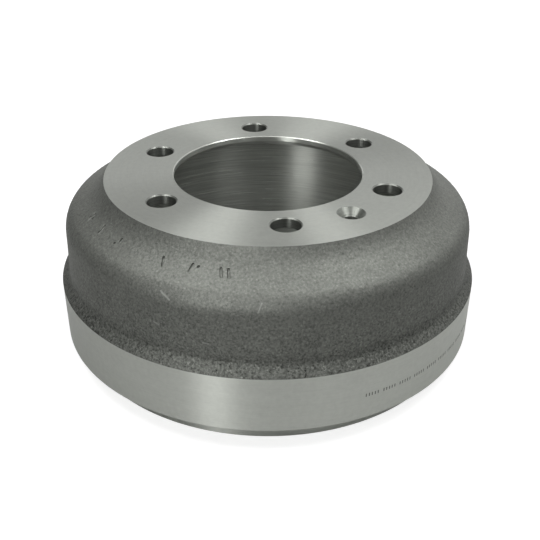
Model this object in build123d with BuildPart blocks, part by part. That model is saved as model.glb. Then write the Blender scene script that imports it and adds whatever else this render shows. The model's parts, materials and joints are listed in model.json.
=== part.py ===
from build123d import *
from math import cos, radians, tan
import os

# Brake drum of a light truck's rear axle, one piece of grey cast iron.
# It stands on its open lip: Z runs up the axle's axis from the lip to the mounting face, and a stud hole lies on +Y.

# Driving dimensions, mm and degrees
overall_height = 121.0        # open lip to mounting face
braking_diameter = 254.0      # bore that the shoes press on
bore_diameter = 130.0         # centre bore, fits over the hub
face_diameter = 224.0         # turned mounting face that the wheel sits on
flange_thickness = 7.5        # between the hub's flange and the wheel

stud_circle_diameter = 170.0
stud_count = 6
stud_hole = 19.0
stud_start = 30.0             # angle of the first stud hole from +X
screw_hole = 9.0              # retaining screw, half way between two studs
screw_countersink = 18.4
screw_cone = 90.0
screw_step = 4.5              # stud pitches from the first stud hole to the screw

neck_depth = 6.2              # steep cast edge under the mounting face
neck_draft = 10.0
shoulder_slope = 30.0         # below the horizontal
shoulder_radius = 16.0
shoulder_thickness = 10.0
neck_fillet = 4.0
wall_thickness = 12.6         # cast wall over the braking bore, at the shoulder
wall_draft = 2.0

band_thickness = 19.6         # turned band over the braking bore
band_width = 38.7
flare_slope = 48.0            # below the horizontal, from the wall out to the band
flare_fillet = 7.0
lip_thickness = 9.0
lip_length = 14.0
lip_fillet = 1.5

seat_step = 1.2               # depth of the turned hub seat into the cast roof
run_out_depth = 1.0           # cast recess where the boring tool stops
run_out_width = 3.0
roof_fillet = 4.0

bore_chamfer = 1.0            # centre bore, at the mounting face
hub_chamfer = 3.8             # lead-in of the centre bore on the hub's side
stud_chamfer = 0.8
mouth_chamfer = 2.0
lip_chamfer = 0.8
band_chamfer = 0.5

same_radius = 0.01            # circles closer in radius than this count as alike

# Radii and heights that follow from them
bore_radius = bore_diameter / 2
face_radius = face_diameter / 2
track_radius = braking_diameter / 2
run_out_radius = track_radius + run_out_depth
wall_radius = track_radius + wall_thickness
band_radius = track_radius + band_thickness
lip_radius = track_radius + lip_thickness
band_top = lip_length + band_width
seat_height = overall_height - flange_thickness
screw_angle = stud_start + screw_step * 360 / stud_count

slope_rise = tan(radians(shoulder_slope))
draft_run = tan(radians(wall_draft))
flare_rise = tan(radians(flare_slope))

neck_foot_radius = face_radius + neck_depth * tan(radians(neck_draft))
neck_foot_height = overall_height - neck_depth
shoulder_height = neck_foot_height - (wall_radius - neck_foot_radius) * slope_rise

# The drafted wall and the flare meet here, before their corner is rounded
flare_reach = (shoulder_height - band_top - band_radius * flare_rise) * draft_run
flare_root_radius = (wall_radius + flare_reach) / (1 - flare_rise * draft_run)
flare_root_height = band_top + (band_radius - flare_root_radius) * flare_rise

# The roof runs parallel to the shoulder, one shoulder thickness under it
roof_drop = shoulder_thickness / cos(radians(shoulder_slope))
roof_corner_height = neck_foot_height - (run_out_radius - neck_foot_radius) * slope_rise - roof_drop
seat_radius = neck_foot_radius + (neck_foot_height - roof_drop - seat_height + seat_step) / slope_rise
run_out_height = roof_corner_height - run_out_width
track_top = run_out_height - run_out_depth


def circles_of(part_builder, radius):
    """Circular edges of one radius, lowest first."""
    rings = part_builder.edges().filter_by(GeomType.CIRCLE)
    return rings.filter_by(lambda ring: abs(ring.radius - radius) < same_radius).sort_by(Axis.Z)


with BuildPart() as brake_drum:
    # Half section, turned about Z: cast outside, turned band and lip, braking bore, hub seat and centre bore
    with BuildSketch(Plane.XZ) as section:
        with BuildLine() as outline:
            FilletPolyline(
                (face_radius, overall_height),
                (neck_foot_radius, neck_foot_height),
                (wall_radius, shoulder_height),
                (flare_root_radius, flare_root_height),
                (band_radius, band_top),
                radius=(neck_fillet, shoulder_radius, flare_fillet),
            )
            FilletPolyline(
                (band_radius, band_top),
                (band_radius, lip_length),
                (lip_radius, lip_length),
                (lip_radius, 0),
                radius=(0, lip_fillet),
            )
            FilletPolyline(
                (lip_radius, 0),
                (track_radius, 0),
                (track_radius, track_top),
                (run_out_radius, run_out_height),
                (run_out_radius, roof_corner_height),
                (seat_radius, seat_height - seat_step),
                radius=(0, 0, 0, roof_fillet),
            )
            Polyline(
                (seat_radius, seat_height - seat_step),
                (seat_radius, seat_height),
                (bore_radius, seat_height),
                (bore_radius, overall_height),
                (face_radius, overall_height),
            )
        make_face()
    revolve(axis=Axis.Z)

    chamfer(circles_of(brake_drum, bore_radius).first, hub_chamfer)
    chamfer(circles_of(brake_drum, bore_radius).last, bore_chamfer)
    chamfer(circles_of(brake_drum, track_radius).first, mouth_chamfer)
    chamfer(circles_of(brake_drum, lip_radius).first, lip_chamfer)
    chamfer(circles_of(brake_drum, band_radius).first, band_chamfer)

    # Stud holes, broken at both ends by a small cone
    for side in (Plane.XY.offset(overall_height), Plane.XY.offset(seat_height).rotated((180, 0, 0))):
        with Locations(side):
            with PolarLocations(stud_circle_diameter / 2, stud_count, start_angle=stud_start):
                CounterSinkHole(stud_hole / 2, stud_hole / 2 + stud_chamfer, flange_thickness, 90)

    # Countersunk hole of the retaining screw, on the stud circle
    with Locations(Plane.XY.offset(overall_height)):
        with PolarLocations(stud_circle_diameter / 2, 1, start_angle=screw_angle):
            CounterSinkHole(screw_hole / 2, screw_countersink / 2, flange_thickness, screw_cone)

brake_drum.part.label = "brake_drum"

os.makedirs("parts", exist_ok=True)
export_step(brake_drum.part, "parts/brake_drum.step")

print("outside", brake_drum.part.bounding_box().size)
print("volume cm3", brake_drum.part.volume / 1000)
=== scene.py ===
import bpy
import json
from math import atan2, ceil, cos, pi, radians, sin, tan
from mathutils import Matrix, Vector


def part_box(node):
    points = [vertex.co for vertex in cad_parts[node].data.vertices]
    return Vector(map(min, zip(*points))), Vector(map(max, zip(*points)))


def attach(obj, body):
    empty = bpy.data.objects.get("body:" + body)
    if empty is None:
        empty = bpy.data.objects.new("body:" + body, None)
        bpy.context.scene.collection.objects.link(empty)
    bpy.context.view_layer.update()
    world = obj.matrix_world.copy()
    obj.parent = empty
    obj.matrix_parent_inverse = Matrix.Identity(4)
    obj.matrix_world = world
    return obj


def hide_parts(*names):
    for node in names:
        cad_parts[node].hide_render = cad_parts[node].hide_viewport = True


# Brake drum of grey cast iron: shot blasted skin, turned faces, bored inside. Sizes are in mm, the scene in metres.
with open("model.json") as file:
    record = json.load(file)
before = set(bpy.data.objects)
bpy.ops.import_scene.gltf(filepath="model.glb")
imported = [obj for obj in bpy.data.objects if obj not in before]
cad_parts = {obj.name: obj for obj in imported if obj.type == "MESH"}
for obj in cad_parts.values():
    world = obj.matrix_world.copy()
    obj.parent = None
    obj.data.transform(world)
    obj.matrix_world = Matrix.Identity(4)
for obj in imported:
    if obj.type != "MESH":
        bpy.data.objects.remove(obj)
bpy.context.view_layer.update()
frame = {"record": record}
scene = bpy.context.scene
mm = 0.001
print("frame loaded")


def linearColour(hexColour):
    channels = [int(hexColour[i:i + 2], 16) / 255 for i in (1, 3, 5)]
    return tuple(c / 12.92 if c <= 0.04045 else ((c + 0.055) / 1.055) ** 2.4 for c in channels) + (1,)


# Adds one node with its settings, and its inputs given as values, sockets or lists of sockets
def addNode(tree, kind, settings={}, inputs={}):
    node = tree.nodes.new(kind)
    for name, value in settings.items():
        setattr(node, name, value)
    for name, value in inputs.items():
        for source in value if isinstance(value, list) else [value]:
            if isinstance(source, bpy.types.NodeSocket):
                tree.links.new(source, node.inputs[name])
            else:
                node.inputs[name].default_value = source
    return node


mounts = {mount["name"]: mount for mount in frame["record"]["mounts"]}
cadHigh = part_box("brake_drum")[1]
finishes = ["castSkin", "turned", "bored", "drilled", "peened"]

drum = {
    "top": cadHigh.z / mm,                                  # mounting face
    "bandRadius": cadHigh.x / mm,
    "boreRadius": mounts["centre_bore"]["dims"]["r_mm"],
    "trackRadius": mounts["braking_bore"]["dims"]["r_mm"],  # the shoes press here
    "faceRadius": 112,
    "flange": 7.5,
    "neckDepth": 8.7, "neckDraft": 32, "neckFillet": 34,    # broad cast blend under the face
    "shoulderSlope": 30, "shoulderFillet": 16, "shoulderThickness": 10,
    "wallThickness": 12.6, "wallDraft": 2,
    "bandWidth": 38.7, "flareSlope": 48, "flareFillet": 7,
    "lipThickness": 9, "lipLength": 14, "lipFillet": 1.5,
    "runOutDepth": 1, "runOutWidth": 3, "roofFillet": 4, "seatStep": 1.2,
    "boreChamfer": 0.6, "hubChamfer": 3.8, "mouthChamfer": 2, "lipChamfer": 0.8, "bandChamfer": 0.5,
    "segments": 720,
    "castStep": 1.2,        # spacing of the rings that carry the cast skin's relief outside
    "roofStep": 1.92,       # and inside
    "turnedStep": 20,
    "filletSteps": 5,       # at least this many across a fillet
    "grainStart": 2.0,      # the relief fades out this close to a turned surface
    "grainSize": 2.6, "grainHeight": 0.13,
    "sharpAngle": 22,       # an edge that turns more than this stays sharp
}

holes = {
    "studCount": mounts["stud_holes"]["dims"]["count"],
    "studRadius": mounts["stud_holes"]["dims"]["hole_r_mm"],
    "studCircle": mounts["stud_holes"]["dims"]["pcd_mm"] / 2,
    "studStart": 30, "studChamfer": 0.8,
    "screwRadius": mounts["screw_hole"]["dims"]["r_mm"],
    "screwPlace": mounts["screw_hole"]["pos_m"],
    "countersinkRadius": 9.2,
    "overrun": 1,           # the cutters reach this far past the metal
    "segments": 72,
}


# Corners are (radius, height) or (radius, height, fillet)
def roundedLine(corners, step):
    points = []
    for i, corner in enumerate(corners):
        here = Vector(corner[:2])
        if len(corner) == 2:
            points.append(here)
            continue
        back = (Vector(corners[i - 1][:2]) - here).normalized()
        ahead = (Vector(corners[i + 1][:2]) - here).normalized()
        halfAngle = back.angle(ahead) / 2
        centre = here + (back + ahead).normalized() * corner[2] / sin(halfAngle)
        first = here + back * corner[2] / tan(halfAngle) - centre
        last = here + ahead * corner[2] / tan(halfAngle) - centre
        start = atan2(first.y, first.x)
        turn = (atan2(last.y, last.x) - start + pi) % (2 * pi) - pi
        count = max(drum["filletSteps"], ceil(corner[2] * abs(turn) / step))
        for k in range(count + 1):
            angle = start + turn * k / count
            points.append(centre + Vector((cos(angle), sin(angle))) * corner[2])
    spaced = [points[0]]
    for start, end in zip(points, points[1:]):
        count = max(1, round((end - start).length / step))
        spaced += [start.lerp(end, (k + 1) / count) for k in range(count)]
    return spaced


# Half section as a mesh of edges: each edge knows its finish, each point how much cast grain it takes
def outlineObject(name, runs):
    points, edgeFinish, grain = [], [], []
    for finish, line in runs:
        along = [0]
        for start, end in zip(line, line[1:]):
            along.append(along[-1] + (end - start).length)
        for k, point in enumerate(line):
            if k > 0 or not points:
                points.append((point.x * mm, 0, point.y * mm))
                fade = min(along[k], along[-1] - along[k]) / drum["grainStart"]
                grain.append(min(1, fade) if finish == "castSkin" else 0)
                if len(points) > 1:
                    edgeFinish.append(finishes.index(finish))
    mesh = bpy.data.meshes.new(name)
    mesh.from_pydata(points, [(k, k + 1) for k in range(len(points) - 1)], [])
    mesh.attributes.new("finish", "INT", "EDGE").data.foreach_set("value", edgeFinish)
    mesh.attributes.new("grain", "FLOAT", "POINT").data.foreach_set("value", grain)
    outline = bpy.data.objects.new(name, mesh)
    scene.collection.objects.link(outline)
    return outline


def drumOutline():
    d = drum
    rise = tan(radians(d["shoulderSlope"]))
    draft = tan(radians(d["wallDraft"]))
    flare = tan(radians(d["flareSlope"]))
    seat = d["top"] - d["flange"]
    neckRadius = d["faceRadius"] + d["neckDepth"] * tan(radians(d["neckDraft"]))
    neckFoot = d["top"] - d["neckDepth"]
    wallRadius = d["trackRadius"] + d["wallThickness"]
    shoulder = neckFoot - (wallRadius - neckRadius) * rise
    bandTop = d["lipLength"] + d["bandWidth"]
    reach = (shoulder - bandTop - d["bandRadius"] * flare) * draft
    rootRadius = (wallRadius + reach) / (1 - flare * draft)
    root = bandTop + (d["bandRadius"] - rootRadius) * flare
    lipRadius = d["trackRadius"] + d["lipThickness"]
    runOutRadius = d["trackRadius"] + d["runOutDepth"]
    roofDrop = d["shoulderThickness"] / cos(radians(d["shoulderSlope"]))
    roofCorner = neckFoot - (runOutRadius - neckRadius) * rise - roofDrop
    runOut = roofCorner - d["runOutWidth"]
    seatFoot = seat - d["seatStep"]
    seatRadius = neckRadius + (neckFoot - roofDrop - seatFoot) / rise
    bore, track, band = d["boreRadius"], d["trackRadius"], d["bandRadius"]
    outside = roundedLine([
        (d["faceRadius"], d["top"]),
        (neckRadius, neckFoot, d["neckFillet"]),
        (wallRadius, shoulder, d["shoulderFillet"]),
        (rootRadius, root, d["flareFillet"]),
        (band, bandTop),
    ], d["castStep"])
    bandAndLip = roundedLine([
        (band, bandTop),
        (band, d["lipLength"] + d["bandChamfer"]),
        (band - d["bandChamfer"], d["lipLength"]),
        (lipRadius, d["lipLength"], d["lipFillet"]),
        (lipRadius, d["lipChamfer"]),
        (lipRadius - d["lipChamfer"], 0),
        (track + d["mouthChamfer"], 0),
        (track, d["mouthChamfer"]),
    ], d["turnedStep"])
    brakingTrack = roundedLine([
        (track, d["mouthChamfer"]),
        (track, runOut - d["runOutDepth"]),
        (runOutRadius, runOut),
    ], d["turnedStep"])
    roof = roundedLine([
        (runOutRadius, runOut),
        (runOutRadius, roofCorner, d["roofFillet"]),
        (seatRadius, seatFoot),
    ], d["roofStep"])
    seatAndBore = roundedLine([
        (seatRadius, seatFoot),
        (seatRadius, seat),
        (bore + d["hubChamfer"], seat),
        (bore, seat + d["hubChamfer"]),
        (bore, d["top"] - d["boreChamfer"]),
    ], d["turnedStep"])
    face = roundedLine([
        (bore, d["top"] - d["boreChamfer"]),
        (bore + d["boreChamfer"], d["top"]),
        (d["faceRadius"], d["top"]),
    ], d["turnedStep"])
    return outlineObject("drumOutline", [
        ("castSkin", outside), ("turned", bandAndLip), ("bored", brakingTrack),
        ("castSkin", roof), ("bored", seatAndBore), ("turned", face),
    ])


def pinOutlines():
    over, top = holes["overrun"], drum["top"]
    seat = top - drum["flange"]
    studWide = holes["studRadius"] + holes["studChamfer"] + over
    screwWide = holes["countersinkRadius"] + over
    coneFoot = top - holes["countersinkRadius"] + holes["screwRadius"]
    stud = [
        (0, top + over),
        (studWide, top + over),
        (holes["studRadius"], top - holes["studChamfer"]),
        (holes["studRadius"], seat + holes["studChamfer"]),
        (studWide, seat - over),
        (0, seat - over),
    ]
    screw = [
        (0, top + over),
        (screwWide, top + over),
        (holes["screwRadius"], coneFoot),
        (holes["screwRadius"], seat - over),
        (0, seat - over),
    ]
    return [
        outlineObject(name, [("drilled", roundedLine(corners, drum["turnedStep"]))])
        for name, corners in (("studPin", stud), ("screwPin", screw))
    ]


# Foundry marks are sunk in the shoulder, and a line of peened ticks runs round the band.
# Both are plain bars and pips. Angles run round the axis from the camera's side.
cameraSide = -97.3

castMarks = {
    "radius": 123.6, "height": 108.7,
    # angle round the drum, then (across, up the slope, turn, half length) of each bar in mm and degrees
    "groups": [
        (-11.3, [(-2.2, 0, 14, 3.9), (2.2, 0, 14, 3.9)]),
        (-20.1, [(-1.6, 0.2, -10, 3.7), (2.6, 1.8, 0, 0.9)]),
        (-29.4, [(0, 0, 22, 4.0)]),
        (-47.3, [(-1.4, -2.0, 0, 0.9), (1.2, 1.8, 10, 1.9)]),
        (-57.0, [(0, 0, 8, 3.6)]),
        (-66.0, [(-1.4, 0, -12, 3.4), (1.8, 0, 0, 0.9)]),
    ],
    "halfWidth": 1.05, "depth": 1.1, "smoothing": 2,
}

peenedTicks = {
    "height": 31.5, "from": 24, "to": 80, "pitch": 2.1,
    "halfWidth": 0.46, "halfLength": 1.35, "depth": 0.24,
    "skip": 6,              # every sixth place stays empty
    "smoothing": 1,
}


# Point on a surface of revolution with the turn that lays a bar on it: X round the axis, Y up the slope, Z outwards
def layOn(radius, height, angle, slope, across, up, turn):
    around = radians(cameraSide + angle)
    outward = Vector((cos(around) * sin(slope), sin(around) * sin(slope), cos(slope)))
    sideways = Vector((-sin(around), cos(around), 0))
    uphill = outward.cross(sideways)
    place = Vector((radius * cos(around), radius * sin(around), height)) + sideways * across + uphill * up
    axes = Matrix((sideways, uphill, outward)).transposed() @ Matrix.Rotation(radians(turn), 3, "Z")
    return place * mm, axes.to_euler()


def barPoints(name, bars):
    mesh = bpy.data.meshes.new(name)
    mesh.from_pydata([place for place, turn, size in bars], [], [])
    turns = mesh.attributes.new("turn", "FLOAT_VECTOR", "POINT")
    turns.data.foreach_set("vector", [a for place, turn, size in bars for a in turn])
    sizes = mesh.attributes.new("size", "FLOAT_VECTOR", "POINT")
    sizes.data.foreach_set("vector", [s * mm for place, turn, size in bars for s in size])
    holder = bpy.data.objects.new(name, mesh)
    scene.collection.objects.link(holder)
    return holder


def castMarkPoints():
    bars = []
    for angle, group in castMarks["groups"]:
        for across, up, turn, halfLength in group:
            place, lean = layOn(castMarks["radius"], castMarks["height"], angle,
                                radians(drum["shoulderSlope"]), across, up, turn)
            bars.append((place, lean, (castMarks["halfWidth"], halfLength, castMarks["depth"])))
    return barPoints("castMarkPoints", bars)


def peenedTickPoints():
    ticks = peenedTicks
    pitch = ticks["pitch"] / drum["bandRadius"] * 180 / pi
    bars = []
    for k in range(int((ticks["to"] - ticks["from"]) / pitch) + 1):
        if k % ticks["skip"] < ticks["skip"] - 1:
            place, lean = layOn(drum["bandRadius"], ticks["height"], ticks["from"] + k * pitch, pi / 2, 0, 0, 0)
            bars.append((place, lean, (ticks["halfWidth"], ticks["halfLength"], ticks["depth"])))
    return barPoints("peenedTickPoints", bars)


def newTree(name, inputs):
    tree = bpy.data.node_groups.new(name, "GeometryNodeTree")
    for socketName, kind in inputs.items():
        tree.interface.new_socket(socketName, in_out="INPUT", socket_type=kind)
    tree.interface.new_socket("Geometry", in_out="OUTPUT", socket_type="NodeSocketGeometry")
    return tree, addNode(tree, "NodeGroupInput").outputs


# Turns an outline once round Z into a closed mesh
def turnOutlineTree():
    tree, given = newTree("turnOutline", {"Outline": "NodeSocketGeometry", "Segments": "NodeSocketInt"})
    size = addNode(tree, "GeometryNodeAttributeDomainSize", {"component": "MESH"}, {"Geometry": given["Outline"]})
    columns = addNode(tree, "FunctionNodeIntegerMath", {"operation": "ADD"}, {0: given["Segments"], 1: 1})
    grid = addNode(tree, "GeometryNodeMeshGrid", {}, {
        "Vertices X": size.outputs["Point Count"], "Vertices Y": columns.outputs[0]})
    index = addNode(tree, "GeometryNodeInputIndex").outputs[0]
    row = addNode(tree, "FunctionNodeIntegerMath", {"operation": "DIVIDE"}, {0: index, 1: columns.outputs[0]})
    column = addNode(tree, "FunctionNodeIntegerMath", {"operation": "MODULO"}, {0: index, 1: columns.outputs[0]})
    step = addNode(tree, "ShaderNodeMath", {"operation": "DIVIDE"}, {0: 2 * pi, 1: given["Segments"]})
    angle = addNode(tree, "ShaderNodeMath", {"operation": "MULTIPLY"}, {0: column.outputs[0], 1: step.outputs[0]})
    position = addNode(tree, "GeometryNodeInputPosition").outputs[0]
    onOutline = addNode(tree, "GeometryNodeSampleIndex", {"data_type": "FLOAT_VECTOR", "domain": "POINT"}, {
        "Geometry": given["Outline"], "Value": position, "Index": row.outputs[0]})
    spun = addNode(tree, "ShaderNodeVectorRotate", {"rotation_type": "Z_AXIS"}, {
        "Vector": onOutline.outputs[0], "Angle": angle.outputs[0]})
    placed = addNode(tree, "GeometryNodeSetPosition", {}, {
        "Geometry": grid.outputs["Mesh"], "Position": spun.outputs[0]})
    strip = addNode(tree, "FunctionNodeIntegerMath", {"operation": "DIVIDE"}, {0: index, 1: given["Segments"]})
    edgeFinish = addNode(tree, "GeometryNodeInputNamedAttribute", {"data_type": "INT"}, {"Name": "finish"})
    stripFinish = addNode(tree, "GeometryNodeSampleIndex", {"data_type": "INT", "domain": "EDGE"}, {
        "Geometry": given["Outline"], "Value": edgeFinish.outputs[0], "Index": strip.outputs[0]})
    withFinish = addNode(tree, "GeometryNodeStoreNamedAttribute", {"data_type": "INT", "domain": "FACE"}, {
        "Geometry": placed.outputs[0], "Name": "finish", "Value": stripFinish.outputs[0]})
    pointGrain = addNode(tree, "GeometryNodeInputNamedAttribute", {"data_type": "FLOAT"}, {"Name": "grain"})
    ringGrain = addNode(tree, "GeometryNodeSampleIndex", {"data_type": "FLOAT", "domain": "POINT"}, {
        "Geometry": given["Outline"], "Value": pointGrain.outputs[0], "Index": row.outputs[0]})
    withGrain = addNode(tree, "GeometryNodeStoreNamedAttribute", {"data_type": "FLOAT", "domain": "POINT"}, {
        "Geometry": withFinish.outputs[0], "Name": "grain", "Value": ringGrain.outputs[0]})
    closed = addNode(tree, "GeometryNodeMergeByDistance", {}, {
        "Geometry": withGrain.outputs[0], "Distance": 0.01 * mm})
    addNode(tree, "NodeGroupOutput", {}, {0: closed.outputs[0]})
    return tree


# Rounded bars on the points of an object, each with its own turn and half sizes
def barsOnPointsTree():
    tree, given = newTree("barsOnPoints", {
        "Points": "NodeSocketObject", "Smoothing": "NodeSocketInt", "Finish": "NodeSocketInt"})
    points = addNode(tree, "GeometryNodeObjectInfo", {}, {"Object": given["Points"]})
    block = addNode(tree, "GeometryNodeMeshCube", {}, {"Size": (2, 2, 2), "Vertices Y": 4})
    rounded = addNode(tree, "GeometryNodeSubdivisionSurface", {}, {
        "Mesh": block.outputs["Mesh"], "Level": given["Smoothing"]})
    turn = addNode(tree, "GeometryNodeInputNamedAttribute", {"data_type": "FLOAT_VECTOR"}, {"Name": "turn"})
    size = addNode(tree, "GeometryNodeInputNamedAttribute", {"data_type": "FLOAT_VECTOR"}, {"Name": "size"})
    bars = addNode(tree, "GeometryNodeInstanceOnPoints", {}, {
        "Points": points.outputs["Geometry"], "Instance": rounded.outputs[0],
        "Rotation": turn.outputs[0], "Scale": size.outputs[0]})
    real = addNode(tree, "GeometryNodeRealizeInstances", {}, {"Geometry": bars.outputs[0]})
    withFinish = addNode(tree, "GeometryNodeStoreNamedAttribute", {"data_type": "INT", "domain": "FACE"}, {
        "Geometry": real.outputs[0], "Name": "finish", "Value": given["Finish"]})
    addNode(tree, "NodeGroupOutput", {}, {0: withFinish.outputs[0]})
    return tree


def drumTree(materials):
    tree, given = newTree("drumBody", {
        "Outline": "NodeSocketObject", "Stud pin": "NodeSocketObject", "Screw pin": "NodeSocketObject",
        "Cast marks": "NodeSocketObject", "Peened ticks": "NodeSocketObject",
        "Segments": "NodeSocketInt", "Hole segments": "NodeSocketInt",
        "Stud count": "NodeSocketInt", "Stud circle": "NodeSocketFloat", "Stud start": "NodeSocketFloat",
        "Screw place": "NodeSocketVector",
        "Grain size": "NodeSocketFloat", "Grain height": "NodeSocketFloat", "Sharp angle": "NodeSocketFloat",
    })
    turnOutline = turnOutlineTree()
    barsOnPoints = barsOnPointsTree()
    solids = {}
    for name, segments in (("Outline", "Segments"), ("Stud pin", "Hole segments"), ("Screw pin", "Hole segments")):
        outline = addNode(tree, "GeometryNodeObjectInfo", {}, {"Object": given[name]})
        solids[name] = addNode(tree, "GeometryNodeGroup", {"node_tree": turnOutline}, {
            "Outline": outline.outputs["Geometry"], "Segments": given[segments]}).outputs[0]

    # Cast grain in the skin itself, along its normals
    scale = addNode(tree, "ShaderNodeMath", {"operation": "DIVIDE"}, {0: 1, 1: given["Grain size"]})
    position = addNode(tree, "GeometryNodeInputPosition").outputs[0]
    noise = addNode(tree, "ShaderNodeTexNoise", {}, {
        "Vector": position, "Scale": scale.outputs[0], "Detail": 2, "Roughness": 0.6})
    swing = addNode(tree, "ShaderNodeMapRange", {}, {
        "Value": noise.outputs["Fac"], "From Min": 0.25, "From Max": 0.75, "To Min": -1, "To Max": 1})
    grain = addNode(tree, "GeometryNodeInputNamedAttribute", {"data_type": "FLOAT"}, {"Name": "grain"})
    masked = addNode(tree, "ShaderNodeMath", {"operation": "MULTIPLY"}, {0: swing.outputs[0], 1: grain.outputs[0]})
    height = addNode(tree, "ShaderNodeMath", {"operation": "MULTIPLY"}, {
        0: masked.outputs[0], 1: given["Grain height"]})
    normal = addNode(tree, "GeometryNodeInputNormal").outputs[0]
    relief = addNode(tree, "ShaderNodeVectorMath", {"operation": "SCALE"}, {0: normal, "Scale": height.outputs[0]})
    skin = addNode(tree, "GeometryNodeSetPosition", {}, {
        "Geometry": solids["Outline"], "Offset": relief.outputs[0]})
    marks = addNode(tree, "GeometryNodeGroup", {"node_tree": barsOnPoints}, {
        "Points": given["Cast marks"], "Smoothing": castMarks["smoothing"], "Finish": finishes.index("castSkin")})

    # Holes, marks and ticks are cut in one go
    circle = addNode(tree, "GeometryNodeMeshCircle", {}, {
        "Vertices": given["Stud count"], "Radius": given["Stud circle"]})
    start = addNode(tree, "ShaderNodeCombineXYZ", {}, {"Z": given["Stud start"]})
    started = addNode(tree, "GeometryNodeTransform", {}, {
        "Geometry": circle.outputs[0], "Rotation": start.outputs[0]})
    studs = addNode(tree, "GeometryNodeInstanceOnPoints", {}, {
        "Points": started.outputs[0], "Instance": solids["Stud pin"]})
    screws = addNode(tree, "GeometryNodeMeshLine", {}, {"Count": 1, "Start Location": given["Screw place"]})
    screw = addNode(tree, "GeometryNodeInstanceOnPoints", {}, {
        "Points": screws.outputs[0], "Instance": solids["Screw pin"]})
    pins = addNode(tree, "GeometryNodeJoinGeometry", {}, {0: [studs.outputs[0], screw.outputs[0]]})
    # Each hole keeps its own axis, which its metal is turned about
    pinAxis = addNode(tree, "GeometryNodeStoreNamedAttribute", {"data_type": "FLOAT_VECTOR", "domain": "INSTANCE"}, {
        "Geometry": pins.outputs[0], "Name": "pinAxis", "Value": position})
    realPins = addNode(tree, "GeometryNodeRealizeInstances", {}, {"Geometry": pinAxis.outputs[0]})
    readAxis = addNode(tree, "GeometryNodeInputNamedAttribute", {"data_type": "FLOAT_VECTOR"}, {"Name": "pinAxis"})
    cutters = addNode(tree, "GeometryNodeStoreNamedAttribute", {"data_type": "FLOAT_VECTOR", "domain": "FACE"}, {
        "Geometry": realPins.outputs[0], "Name": "holeAxis", "Value": readAxis.outputs[0]})
    ticks = addNode(tree, "GeometryNodeGroup", {"node_tree": barsOnPoints}, {
        "Points": given["Peened ticks"], "Smoothing": peenedTicks["smoothing"], "Finish": finishes.index("peened")})
    cut = addNode(tree, "GeometryNodeMeshBoolean", {"operation": "DIFFERENCE", "solver": "MANIFOLD"}, {
        "Mesh 1": skin.outputs[0], "Mesh 2": [cutters.outputs[0], marks.outputs[0], ticks.outputs[0]]})

    # Smooth all over but for true edges
    edgeAngle = addNode(tree, "GeometryNodeInputMeshEdgeAngle")
    sharp = addNode(tree, "FunctionNodeCompare", {"data_type": "FLOAT", "operation": "GREATER_THAN"}, {
        0: edgeAngle.outputs["Unsigned Angle"], 1: given["Sharp angle"]})
    smooth = addNode(tree, "GeometryNodeSetShadeSmooth", {"domain": "FACE"}, {
        "Geometry": cut.outputs["Mesh"], "Shade Smooth": True})
    edged = addNode(tree, "GeometryNodeSetShadeSmooth", {"domain": "EDGE"}, {
        "Geometry": smooth.outputs[0], "Selection": sharp.outputs[0], "Shade Smooth": False})
    last = addNode(tree, "GeometryNodeRealizeInstances", {}, {"Geometry": edged.outputs[0]})
    finish = addNode(tree, "GeometryNodeInputNamedAttribute", {"data_type": "INT"}, {"Name": "finish"})
    for number, name in enumerate(finishes):
        chosen = addNode(tree, "FunctionNodeCompare", {"data_type": "INT", "operation": "EQUAL"}, {
            2: finish.outputs[0], 3: number})
        last = addNode(tree, "GeometryNodeSetMaterial", {}, {
            "Geometry": last.outputs[0], "Selection": chosen.outputs[0], "Material": materials[name]})
    addNode(tree, "NodeGroupOutput", {}, {0: last.outputs[0]})
    return tree


# Runs a tree once and keeps its result as a plain mesh
def meshFromTree(name, tree, values):
    piece = bpy.data.objects.new(name, bpy.data.meshes.new(name))
    scene.collection.objects.link(piece)
    modifier = piece.modifiers.new("tree", "NODES")
    modifier.node_group = tree
    for socket in tree.interface.items_tree:
        if socket.in_out == "INPUT":
            modifier[socket.identifier] = values[socket.name]
    result = bpy.data.meshes.new_from_object(piece.evaluated_get(bpy.context.evaluated_depsgraph_get()))
    piece.modifiers.remove(modifier)
    piece.data = result
    result.name = name
    result.materials.pop(index=0)      # the empty slot of the tree's own primitives
    return piece


def newMaterial(name):
    material = bpy.data.materials.new(name)
    material.use_nodes = True
    material.node_tree.nodes.clear()
    return material, material.node_tree


# Light scrapes on the skin, the last two painted highlights where the far letters catch the light: (angle, radius,
# height) at both ends in degrees and mm, then the half width
scratchesAndGlints = [
    ((-26.3, 137.7, 98.3), (-23.7, 139.2, 94.8), 0.42),
    ((-2.2, 139.5, 93.8), (-1.3, 137.4, 98.9), 0.34),
    ((-28.1, 140.4, 77.3), (-26.8, 140.4, 76.3), 0.40),
    ((-15.3, 140.6, 70.9), (-14.0, 140.6, 70.6), 0.40),
    # painted highlights: light caught by the cast letters at -57 and -66 degrees
    ((-57.9, 121.2, 110.1), (-56.6, 126.0, 107.3), 0.62),
    ((-67.2, 121.0, 110.2), (-65.9, 126.4, 107.1), 0.75),
]

castSkin = {
    "colour": "#747671", "roughness": 0.56,
    "mottleSize": 22, "mottle": 0.05,
    "grainSize": 1.6, "grain": 0.29,        # sand grain, drawn about twice as coarse as it is so that it shows
    "speckSize": 1.1,
    "lightSpeck": 0.42, "lightFrom": 0.62, "lightTo": 0.74,     # how light, and which part of the noise is a speck
    "darkSpeck": 0.26, "darkFrom": 0.38, "darkTo": 0.28,
    "bump": 0.26,
    "smoothFrom": 104, "smoothShare": 0.82, "roughFrom": 56, "roughShare": 1.4,     # coarser down towards the band
    "footFrom": 68, "footTo": 56, "footShade": 0.71,        # and darker there: painted shade, where the grains shade each other
    "scratchAndGlintColour": "#a9aba6", "scratchAndGlintShare": 0.55,
}
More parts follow.
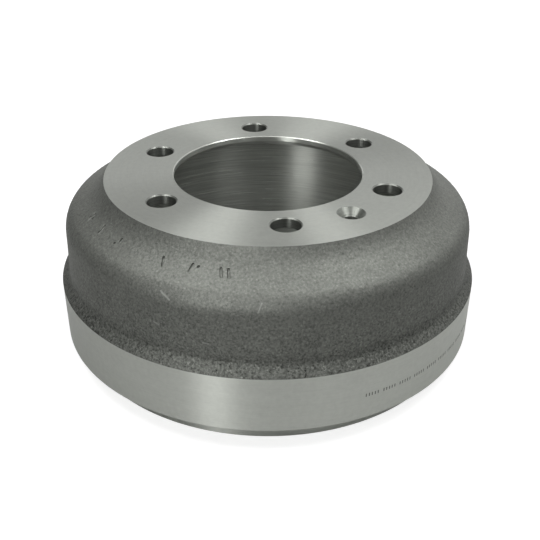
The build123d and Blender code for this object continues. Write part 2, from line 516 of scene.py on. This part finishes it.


# How near a point is to a scrape or painted highlight, 1 on it and 0 beyond its width
def scratchAndGlintMask(tree, coords, scratchOrGlint):
    ends = [Vector((radius * cos(radians(cameraSide + angle)), radius * sin(radians(cameraSide + angle)), z)) * mm
            for angle, radius, z in scratchOrGlint[:2]]
    line = ends[1] - ends[0]
    fromStart = addNode(tree, "ShaderNodeVectorMath", {"operation": "SUBTRACT"}, {0: coords, 1: ends[0]})
    along = addNode(tree, "ShaderNodeVectorMath", {"operation": "DOT_PRODUCT"}, {
        0: fromStart.outputs[0], 1: line / line.length_squared})
    clamped = addNode(tree, "ShaderNodeClamp", {}, {"Value": along.outputs["Value"]})
    nearest = addNode(tree, "ShaderNodeVectorMath", {"operation": "SCALE"}, {0: line, "Scale": clamped.outputs[0]})
    away = addNode(tree, "ShaderNodeVectorMath", {"operation": "DISTANCE"}, {
        0: fromStart.outputs[0], 1: nearest.outputs[0]})
    return addNode(tree, "ShaderNodeMapRange", {"interpolation_type": "SMOOTHSTEP"}, {
        "Value": away.outputs["Value"], "From Min": scratchOrGlint[2] * 0.3 * mm, "From Max": scratchOrGlint[2] * 2 * mm,
        "To Min": castSkin["scratchAndGlintShare"], "To Max": 0}).outputs[0]


# Sand cast iron, shot blasted: matt grey, with fine lighter and darker grains
def castSkinMaterial():
    v = castSkin
    material, tree = newMaterial("blastedCastIron")
    coords = addNode(tree, "ShaderNodeTexCoord").outputs["Object"]
    height = addNode(tree, "ShaderNodeSeparateXYZ", {}, {0: coords}).outputs["Z"]
    rough = addNode(tree, "ShaderNodeMapRange", {"interpolation_type": "SMOOTHSTEP"}, {
        "Value": height, "From Min": v["roughFrom"] * mm, "From Max": v["smoothFrom"] * mm,
        "To Min": v["roughShare"], "To Max": v["smoothShare"]}).outputs[0]
    mottle = addNode(tree, "ShaderNodeTexNoise", {}, {
        "Vector": coords, "Scale": 1 / (v["mottleSize"] * mm), "Detail": 2})
    grain = addNode(tree, "ShaderNodeTexNoise", {}, {
        "Vector": coords, "Scale": 1 / (v["grainSize"] * mm), "Detail": 3, "Roughness": 0.6})
    specks = addNode(tree, "ShaderNodeTexNoise", {}, {
        "Vector": coords, "Scale": 1 / (v["speckSize"] * mm), "Detail": 1})
    lightSpecks = addNode(tree, "ShaderNodeMapRange", {}, {
        "Value": specks.outputs["Fac"], "From Min": v["lightFrom"], "From Max": v["lightTo"],
        "To Min": 0, "To Max": v["lightSpeck"]})
    darkSpecks = addNode(tree, "ShaderNodeMapRange", {}, {
        "Value": specks.outputs["Fac"], "From Min": v["darkFrom"], "From Max": v["darkTo"],
        "To Min": 0, "To Max": -v["darkSpeck"]})
    mottleShade = addNode(tree, "ShaderNodeMapRange", {"clamp": False}, {
        "Value": mottle.outputs["Fac"], "From Min": 0.3, "From Max": 0.7,
        "To Min": -v["mottle"], "To Max": v["mottle"]})
    grainShade = addNode(tree, "ShaderNodeMapRange", {"clamp": False}, {
        "Value": grain.outputs["Fac"], "From Min": 0.3, "From Max": 0.7,
        "To Min": -v["grain"], "To Max": v["grain"]})
    speckShade = addNode(tree, "ShaderNodeMath", {"operation": "ADD"}, {
        0: lightSpecks.outputs[0], 1: darkSpecks.outputs[0]})
    fine = addNode(tree, "ShaderNodeMath", {"operation": "ADD"}, {0: grainShade.outputs[0], 1: speckShade.outputs[0]})
    rougher = addNode(tree, "ShaderNodeMath", {"operation": "MULTIPLY"}, {0: fine.outputs[0], 1: rough})
    allShade = addNode(tree, "ShaderNodeMath", {"operation": "ADD"}, {
        0: rougher.outputs[0], 1: mottleShade.outputs[0]})
    # Painted shade: darker towards the band, at the foot of the wall
    foot = addNode(tree, "ShaderNodeMapRange", {"interpolation_type": "SMOOTHSTEP"}, {
        "Value": height, "From Min": v["footTo"] * mm, "From Max": v["footFrom"] * mm,
        "To Min": v["footShade"], "To Max": 1})
    shade = addNode(tree, "ShaderNodeMath", {"operation": "ADD"}, {0: allShade.outputs[0], 1: foot.outputs[0]})
    colour = addNode(tree, "ShaderNodeVectorMath", {"operation": "SCALE"}, {
        0: linearColour(v["colour"])[:3], "Scale": shade.outputs[0]})
    # Scrapes, and painted highlights by the far letters, lighten the colour
    scratchedAndGlinting = None
    for scratchOrGlint in scratchesAndGlints:
        mask = scratchAndGlintMask(tree, coords, scratchOrGlint)
        scratchedAndGlinting = mask if scratchedAndGlinting is None else addNode(
            tree, "ShaderNodeMath", {"operation": "MAXIMUM"}, {0: scratchedAndGlinting, 1: mask}).outputs[0]
    finalColour = addNode(tree, "ShaderNodeMix", {"data_type": "RGBA"}, {
        0: scratchedAndGlinting, 6: colour.outputs[0], 7: linearColour(v["scratchAndGlintColour"])})
    bumpHeight = addNode(tree, "ShaderNodeMath", {"operation": "MULTIPLY"}, {0: grain.outputs["Fac"], 1: rough})
    bump = addNode(tree, "ShaderNodeBump", {}, {
        "Strength": 1, "Distance": v["bump"] * mm, "Height": bumpHeight.outputs[0]})
    surface = addNode(tree, "ShaderNodeBsdfPrincipled", {}, {
        "Base Color": finalColour.outputs[2], "Metallic": 1, "Roughness": v["roughness"],
        "Normal": bump.outputs[0]})
    addNode(tree, "ShaderNodeOutputMaterial", {}, {0: surface.outputs[0]})
    return material


# A lathe's feed lines are finer than a pixel, so each is drawn as a broader soft ring
turned = {
    "name": "turnedCastIron", "colour": "#cacdc6", "roughness": 0.34, "anisotropic": 0.90,
    "lineWidth": 0.9, "streak": 14, "line": 0.035,      # a line's width in mm, its length in widths, its strength
    "ringWidth": 7, "ring": 0.010, "bump": 0.003,
    "mottleSize": 3, "mottle": 0.045,                   # faint clouds of the iron's own grain
    "dullness": 0.4,                                    # a darker line is rougher by this share
}
bored = {
    "name": "boredCastIron", "colour": "#c2c5be", "roughness": 0.34, "anisotropic": 0.97,
    "lineWidth": 0.9, "streak": 45, "line": 0.24,
    "ringWidth": 9, "ring": 0.03, "bump": 0.012,
    "mottleSize": 4, "mottle": 0.02,
    "dullness": 0.4,
}


# Grey iron cut on a lathe: bright metal whose circular lines draw its highlights out across them
def turnedMaterial(v):
    material, tree = newMaterial(v["name"])
    coords = addNode(tree, "ShaderNodeTexCoord").outputs["Object"]
    height = addNode(tree, "ShaderNodeSeparateXYZ", {}, {0: coords}).outputs["Z"]
    flat = addNode(tree, "ShaderNodeVectorMath", {"operation": "MULTIPLY"}, {0: coords, 1: (1, 1, 0)})
    radius = addNode(tree, "ShaderNodeVectorMath", {"operation": "LENGTH"}, {0: flat.outputs[0]}).outputs["Value"]
    # Streaks fine across the tool's path and long along it
    stretch = v["lineWidth"] / v["streak"]
    small = addNode(tree, "ShaderNodeVectorMath", {"operation": "SCALE"}, {0: flat.outputs[0], "Scale": stretch})
    along = addNode(tree, "ShaderNodeSeparateXYZ", {}, {0: small.outputs[0]}).outputs
    section = addNode(tree, "ShaderNodeCombineXYZ", {}, {"X": radius, "Y": height, "Z": along["X"]})
    lines = addNode(tree, "ShaderNodeTexNoise", {"noise_dimensions": "4D"}, {
        "Vector": section.outputs[0], "W": along["Y"], "Scale": 1 / (v["lineWidth"] * mm),
        "Detail": 2, "Roughness": 0.7})
    rings = addNode(tree, "ShaderNodeTexNoise", {}, {
        "Vector": section.outputs[0], "Scale": 1 / (v["ringWidth"] * mm), "Detail": 1})
    lineShade = addNode(tree, "ShaderNodeMapRange", {"clamp": False}, {
        "Value": lines.outputs["Fac"], "From Min": 0.25, "From Max": 0.75,
        "To Min": -v["line"], "To Max": v["line"]})
    ringShade = addNode(tree, "ShaderNodeMapRange", {"clamp": False}, {
        "Value": rings.outputs["Fac"], "From Min": 0.25, "From Max": 0.75,
        "To Min": -v["ring"], "To Max": v["ring"]})
    both = addNode(tree, "ShaderNodeMath", {"operation": "ADD"}, {0: lineShade.outputs[0], 1: ringShade.outputs[0]})
    mottle = addNode(tree, "ShaderNodeTexNoise", {}, {
        "Vector": coords, "Scale": 1 / (v["mottleSize"] * mm), "Detail": 3, "Roughness": 0.6})
    mottleShade = addNode(tree, "ShaderNodeMapRange", {"clamp": False}, {
        "Value": mottle.outputs["Fac"], "From Min": 0.25, "From Max": 0.75,
        "To Min": 1 - v["mottle"], "To Max": 1 + v["mottle"]})
    shade = addNode(tree, "ShaderNodeMath", {"operation": "ADD"}, {0: both.outputs[0], 1: mottleShade.outputs[0]})
    colour = addNode(tree, "ShaderNodeVectorMath", {"operation": "SCALE"}, {
        0: linearColour(v["colour"])[:3], "Scale": shade.outputs[0]})
    roughness = addNode(tree, "ShaderNodeMath", {"operation": "MULTIPLY_ADD"}, {
        0: both.outputs[0], 1: -v["dullness"], 2: v["roughness"]})
    bump = addNode(tree, "ShaderNodeBump", {}, {
        "Strength": 1, "Distance": v["bump"] * mm, "Height": lines.outputs["Fac"]})
    around = addNode(tree, "ShaderNodeTangent", {"direction_type": "RADIAL", "axis": "Z"})
    surface = addNode(tree, "ShaderNodeBsdfPrincipled", {}, {
        "Base Color": colour.outputs[0], "Metallic": 1, "Roughness": roughness.outputs[0],
        "Anisotropic": v["anisotropic"], "Anisotropic Rotation": 0.25,
        "Tangent": around.outputs[0], "Normal": bump.outputs[0]})
    addNode(tree, "ShaderNodeOutputMaterial", {}, {0: surface.outputs[0]})
    return material


drilled = {
    "colour": "#92958f", "roughness": 0.43, "anisotropic": 0.86, "lineWidth": 0.8, "line": 0.16, "bump": 0.010,
    "wallShade": 0.62,                      # painted shade: colour of the straight walls down the holes against the countersunk ends
    "wallSlope": 0.1, "endSlope": 0.5,      # how far the metal faces up or down, from 0 to 1, in each
}


# Drilled iron: the same metal with the drill's rings, stretched about the hole's own axis, and painted shade darker
# down the holes
def drilledMaterial():
    v = drilled
    material, tree = newMaterial("drilledCastIron")
    place = addNode(tree, "ShaderNodeTexCoord")
    coords = place.outputs["Object"]
    axis = addNode(tree, "ShaderNodeAttribute", {"attribute_name": "holeAxis"}).outputs["Vector"]
    fromAxis = addNode(tree, "ShaderNodeVectorMath", {"operation": "SUBTRACT"}, {0: coords, 1: axis})
    flat = addNode(tree, "ShaderNodeVectorMath", {"operation": "MULTIPLY"}, {0: fromAxis.outputs[0], 1: (1, 1, 0)})
    around = addNode(tree, "ShaderNodeVectorMath", {"operation": "CROSS_PRODUCT"}, {0: (0, 0, 1), 1: flat.outputs[0]})
    along = addNode(tree, "ShaderNodeVectorMath", {"operation": "NORMALIZE"}, {0: around.outputs[0]})
    height = addNode(tree, "ShaderNodeSeparateXYZ", {}, {0: coords}).outputs["Z"]
    rings = addNode(tree, "ShaderNodeTexNoise", {"noise_dimensions": "1D"}, {
        "W": height, "Scale": 1 / (v["lineWidth"] * mm), "Detail": 2})
    shade = addNode(tree, "ShaderNodeMapRange", {}, {
        "Value": rings.outputs["Fac"], "From Min": 0.25, "From Max": 0.75,
        "To Min": 1 - v["line"], "To Max": 1 + v["line"]})
    facing = addNode(tree, "ShaderNodeSeparateXYZ", {}, {0: place.outputs["Normal"]}).outputs["Z"]
    slope = addNode(tree, "ShaderNodeMath", {"operation": "ABSOLUTE"}, {0: facing})
    # Painted shade on the straight walls down the holes
    wall = addNode(tree, "ShaderNodeMapRange", {}, {
        "Value": slope.outputs[0], "From Min": v["wallSlope"], "From Max": v["endSlope"],
        "To Min": v["wallShade"], "To Max": 1})
    share = addNode(tree, "ShaderNodeMath", {"operation": "MULTIPLY"}, {0: shade.outputs[0], 1: wall.outputs[0]})
    colour = addNode(tree, "ShaderNodeVectorMath", {"operation": "SCALE"}, {
        0: linearColour(v["colour"])[:3], "Scale": share.outputs[0]})
    bump = addNode(tree, "ShaderNodeBump", {}, {
        "Strength": 1, "Distance": v["bump"] * mm, "Height": rings.outputs["Fac"]})
    surface = addNode(tree, "ShaderNodeBsdfPrincipled", {}, {
        "Base Color": colour.outputs[0], "Metallic": 1, "Roughness": v["roughness"],
        "Anisotropic": v["anisotropic"], "Anisotropic Rotation": 0.25,
        "Tangent": along.outputs[0], "Normal": bump.outputs[0]})
    addNode(tree, "ShaderNodeOutputMaterial", {}, {0: surface.outputs[0]})
    return material


peened = {"colour": "#7e807b", "roughness": 0.5, "spotSize": 0.5, "spot": 0.2}


# Struck iron at the bottom of the ticks: darker and dull, in small dents
def peenedMaterial():
    v = peened
    material, tree = newMaterial("peenedCastIron")
    coords = addNode(tree, "ShaderNodeTexCoord").outputs["Object"]
    spots = addNode(tree, "ShaderNodeTexNoise", {}, {"Vector": coords, "Scale": 1 / (v["spotSize"] * mm)})
    shade = addNode(tree, "ShaderNodeMapRange", {}, {
        "Value": spots.outputs["Fac"], "From Min": 0.3, "From Max": 0.7,
        "To Min": 1 - v["spot"], "To Max": 1 + v["spot"]})
    colour = addNode(tree, "ShaderNodeVectorMath", {"operation": "SCALE"}, {
        0: linearColour(v["colour"])[:3], "Scale": shade.outputs[0]})
    surface = addNode(tree, "ShaderNodeBsdfPrincipled", {}, {
        "Base Color": colour.outputs[0], "Metallic": 1, "Roughness": v["roughness"]})
    addNode(tree, "ShaderNodeOutputMaterial", {}, {0: surface.outputs[0]})
    return material


def makeDrum():
    materials = {
        "castSkin": castSkinMaterial(), "turned": turnedMaterial(turned), "bored": turnedMaterial(bored),
        "drilled": drilledMaterial(), "peened": peenedMaterial(),
    }
    outline = drumOutline()
    studPin, screwPin = pinOutlines()
    marks, ticks = castMarkPoints(), peenedTickPoints()
    print("outlines made,", len(outline.data.vertices), "rings")
    piece = meshFromTree("drum_metal", drumTree(materials), {
        "Outline": outline, "Stud pin": studPin, "Screw pin": screwPin, "Cast marks": marks, "Peened ticks": ticks,
        "Segments": drum["segments"], "Hole segments": holes["segments"],
        "Stud count": holes["studCount"], "Stud circle": holes["studCircle"] * mm,
        "Stud start": radians(holes["studStart"]),
        "Screw place": (holes["screwPlace"][0], holes["screwPlace"][1], 0),
        "Grain size": drum["grainSize"] * mm, "Grain height": drum["grainHeight"] * mm,
        "Sharp angle": radians(drum["sharpAngle"]),
    })
    for helper in (outline, studPin, screwPin, marks, ticks):
        bpy.data.objects.remove(helper)
    print("drum made,", sum(len(face.vertices) - 2 for face in piece.data.polygons), "triangles")
    return piece


drumMetal = makeDrum()
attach(drumMetal, "root")
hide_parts("brake_drum")


floorValues = {
    "size": 12, "colour": "#bababa",
    "below": 0.4,                       # mm under the lip
    "lift": 0.72,                       # white added for the camera near the drum, so that the shadow stays
    "farLift": 1.0, "farFrom": 0.35, "farTo": 1.2,
    "insideShare": 0.3,                 # share of that inside the drum: painted shade, where the floor lies in shade
    "mirrorLift": 0.4,                  # painted light: white given off for reflections by the floor close under the lip, which is black without it
}


# Pale floor, white to the camera, that keeps the drum's soft shadow and is clear from below
def makeFloor():
    v = floorValues
    half = v["size"] / 2
    mesh = bpy.data.meshes.new("floor")
    mesh.from_pydata([(-half, -half, 0), (half, -half, 0), (half, half, 0), (-half, half, 0)], [], [(0, 1, 2, 3)])
    mesh.transform(Matrix.Translation((0, 0, -v["below"] * mm)))
    floor = bpy.data.objects.new("floor", mesh)
    scene.collection.objects.link(floor)
    material, tree = newMaterial("paleFloor")
    coords = addNode(tree, "ShaderNodeTexCoord").outputs["Object"]
    away = addNode(tree, "ShaderNodeVectorMath", {"operation": "LENGTH"}, {0: coords})
    lift = addNode(tree, "ShaderNodeMapRange", {"interpolation_type": "SMOOTHSTEP"}, {
        "Value": away.outputs["Value"], "From Min": v["farFrom"], "From Max": v["farTo"],
        "To Min": v["lift"], "To Max": v["farLift"]})
    # Painted shade: less white for the camera on the floor inside the drum
    inside = addNode(tree, "ShaderNodeMapRange", {"interpolation_type": "SMOOTHSTEP"}, {
        "Value": away.outputs["Value"],
        "From Min": drum["trackRadius"] * mm, "From Max": (drum["trackRadius"] + drum["lipThickness"]) * mm,
        "To Min": v["insideShare"], "To Max": 1})
    liftThere = addNode(tree, "ShaderNodeMath", {"operation": "MULTIPLY"}, {0: lift.outputs[0], 1: inside.outputs[0]})
    path = addNode(tree, "ShaderNodeLightPath")
    forCamera = addNode(tree, "ShaderNodeMath", {"operation": "MULTIPLY"}, {
        0: path.outputs["Is Camera Ray"], 1: liftThere.outputs[0]})
    mirrored = addNode(tree, "ShaderNodeMath", {"operation": "ADD"}, {
        0: path.outputs["Is Glossy Ray"], 1: path.outputs["Is Transmission Ray"]})
    # Painted light: a ring of floor under the lip glows for reflected rays only
    halfLip = drum["lipThickness"] / 2
    underLip = addNode(tree, "ShaderNodeMath", {"operation": "COMPARE"}, {
        0: away.outputs["Value"], 1: (drum["trackRadius"] + halfLip) * mm, 2: halfLip * mm})
    paintedLipGlow = addNode(tree, "ShaderNodeMath", {"operation": "MULTIPLY"}, {
        0: mirrored.outputs[0], 1: underLip.outputs[0]})
    strength = addNode(tree, "ShaderNodeMath", {"operation": "MULTIPLY_ADD"}, {
        0: paintedLipGlow.outputs[0], 1: v["mirrorLift"], 2: forCamera.outputs[0]})
    glow = addNode(tree, "ShaderNodeEmission", {}, {"Strength": strength.outputs[0]})
    matt = addNode(tree, "ShaderNodeBsdfDiffuse", {}, {"Color": linearColour(v["colour"])})
    lit = addNode(tree, "ShaderNodeAddShader", {}, {0: matt.outputs[0], 1: glow.outputs[0]})
    clear = addNode(tree, "ShaderNodeBsdfTransparent")
    side = addNode(tree, "ShaderNodeNewGeometry")
    both = addNode(tree, "ShaderNodeMixShader", {}, {
        0: side.outputs["Backfacing"], 1: lit.outputs[0], 2: clear.outputs[0]})
    addNode(tree, "ShaderNodeOutputMaterial", {}, {0: both.outputs[0]})
    mesh.materials.append(material)


studio = {
    "diffuse": 0.06,                    # light from all round
    "fill": 0.32,                       # what metal sees of the dim room
    "backdrop": 1.1,                    # white paper behind the drum; its half width, top and soft edges in degrees
    "backdropReach": 38, "reachSoftness": 8, "backdropTop": 18, "topSoftness": 5,
}


# White to the camera; metal sees the white backdrop in a dim room
def makeWorld():
    v = studio
    world = bpy.data.worlds.new("studio")
    scene.world = world
    world.use_nodes = True
    tree = world.node_tree
    tree.nodes.clear()
    direction = addNode(tree, "ShaderNodeTexCoord").outputs["Generated"]
    side = radians(cameraSide)
    behind = addNode(tree, "ShaderNodeVectorMath", {"operation": "DOT_PRODUCT"}, {
        0: direction, 1: (-cos(side), -sin(side), 0)})
    across = addNode(tree, "ShaderNodeMapRange", {"interpolation_type": "SMOOTHSTEP"}, {
        "Value": behind.outputs["Value"],
        "From Min": cos(radians(v["backdropReach"] + v["reachSoftness"])),
        "From Max": cos(radians(v["backdropReach"] - v["reachSoftness"]))})
    height = addNode(tree, "ShaderNodeSeparateXYZ", {}, {0: direction}).outputs["Z"]
    below = addNode(tree, "ShaderNodeMapRange", {"interpolation_type": "SMOOTHSTEP"}, {
        "Value": height,
        "From Min": sin(radians(v["backdropTop"] + v["topSoftness"])),
        "From Max": sin(radians(v["backdropTop"] - v["topSoftness"]))})
    paper = addNode(tree, "ShaderNodeMath", {"operation": "MULTIPLY"}, {0: across.outputs[0], 1: below.outputs[0]})
    seen = addNode(tree, "ShaderNodeMapRange", {}, {
        "Value": paper.outputs[0], "To Min": v["fill"], "To Max": v["backdrop"]})
    path = addNode(tree, "ShaderNodeLightPath")
    mirrored = addNode(tree, "ShaderNodeMath", {"operation": "ADD"}, {
        0: path.outputs["Is Glossy Ray"], 1: path.outputs["Is Transmission Ray"]})
    around = addNode(tree, "ShaderNodeMix", {}, {0: mirrored.outputs[0], 2: v["diffuse"], 3: seen.outputs[0]})
    strength = addNode(tree, "ShaderNodeMix", {}, {0: path.outputs["Is Camera Ray"], 2: around.outputs[0], 3: 1.0})
    background = addNode(tree, "ShaderNodeBackground", {}, {"Color": (1, 1, 1, 1), "Strength": strength.outputs[0]})
    addNode(tree, "ShaderNodeOutputWorld", {}, {0: background.outputs[0]})


# Softboxes: degrees to the right of the camera's side and above the floor, distance, width, height, level of white
softboxes = {
    "overLeft": (-90, 66, 2.5, 1.00, 0.90, 7.4),
    "sideLeft": (-86, 52, 2.5, 1.00, 0.80, 1.1),
    "overRight": (92, 66, 2.5, 0.90, 0.90, 6.8),
    "sideRight": (84, 50, 2.5, 1.00, 0.80, 2.8),
    "highRight": (56, 55, 2.5, 1.00, 1.10, 0.4),
    "top": (-4, 68, 2.5, 1.20, 0.90, 1.7),
    "frontLeft": (-25.5, 22, 2.5, 0.61, 1.60, 7.7),
    "frontRight": (28.5, 30, 2.5, 0.65, 1.30, 1.1),
    "backRight": (119, 27, 2.5, 2.80, 2.30, 0.6),
}


def makeSoftboxes():
    target = Vector((0, 0, drum["top"] * mm))
    for name, (azimuth, elevation, distance, width, height, level) in softboxes.items():
        lamp = bpy.data.lights.new(name, "AREA")
        lamp.shape = "RECTANGLE"
        lamp.size, lamp.size_y = width, height
        lamp.energy = pi * level * width * height      # so that metal sees the box as bright as its level
        around, up = radians(cameraSide + azimuth), radians(elevation)
        towards = Vector((cos(around) * cos(up), sin(around) * cos(up), sin(up)))
        holder = bpy.data.objects.new(name, lamp)
        holder.location = target + towards * distance
        holder.rotation_euler = towards.to_track_quat("Z", "Y").to_euler()
        holder.visible_camera = False
        scene.collection.objects.link(holder)


# Aimed at the middle of the mounting face, then turned off it by pan, tilt and roll
camera = {
    "distance": 0.55199, "elevation": 22.833, "lens": 52.8315, "sensor": 36,
    "pan": 0.1667, "tilt": -7.22, "roll": 0.1958,
}


def makeCamera():
    v = {name: radians(value) for name, value in camera.items()}
    side = radians(cameraSide)
    data = bpy.data.cameras.new("camera")
    data.lens = camera["lens"]
    data.sensor_width = camera["sensor"]
    data.clip_start, data.clip_end = 0.01, 100
    holder = bpy.data.objects.new("camera", data)
    back = Vector((cos(side) * cos(v["elevation"]), sin(side) * cos(v["elevation"]), sin(v["elevation"])))
    aim = (Matrix.Rotation(side + pi / 2, 4, "Z") @ Matrix.Rotation(pi / 2 - v["elevation"] + v["tilt"], 4, "X")
           @ Matrix.Rotation(-v["pan"], 4, "Y") @ Matrix.Rotation(v["roll"], 4, "Z"))
    holder.matrix_world = Matrix.Translation(Vector((0, 0, drum["top"] * mm)) + back * camera["distance"]) @ aim
    scene.collection.objects.link(holder)
    scene.camera = holder


makeFloor()
makeWorld()
makeSoftboxes()
makeCamera()
scene.view_settings.view_transform = "Standard"
print("studio ready")
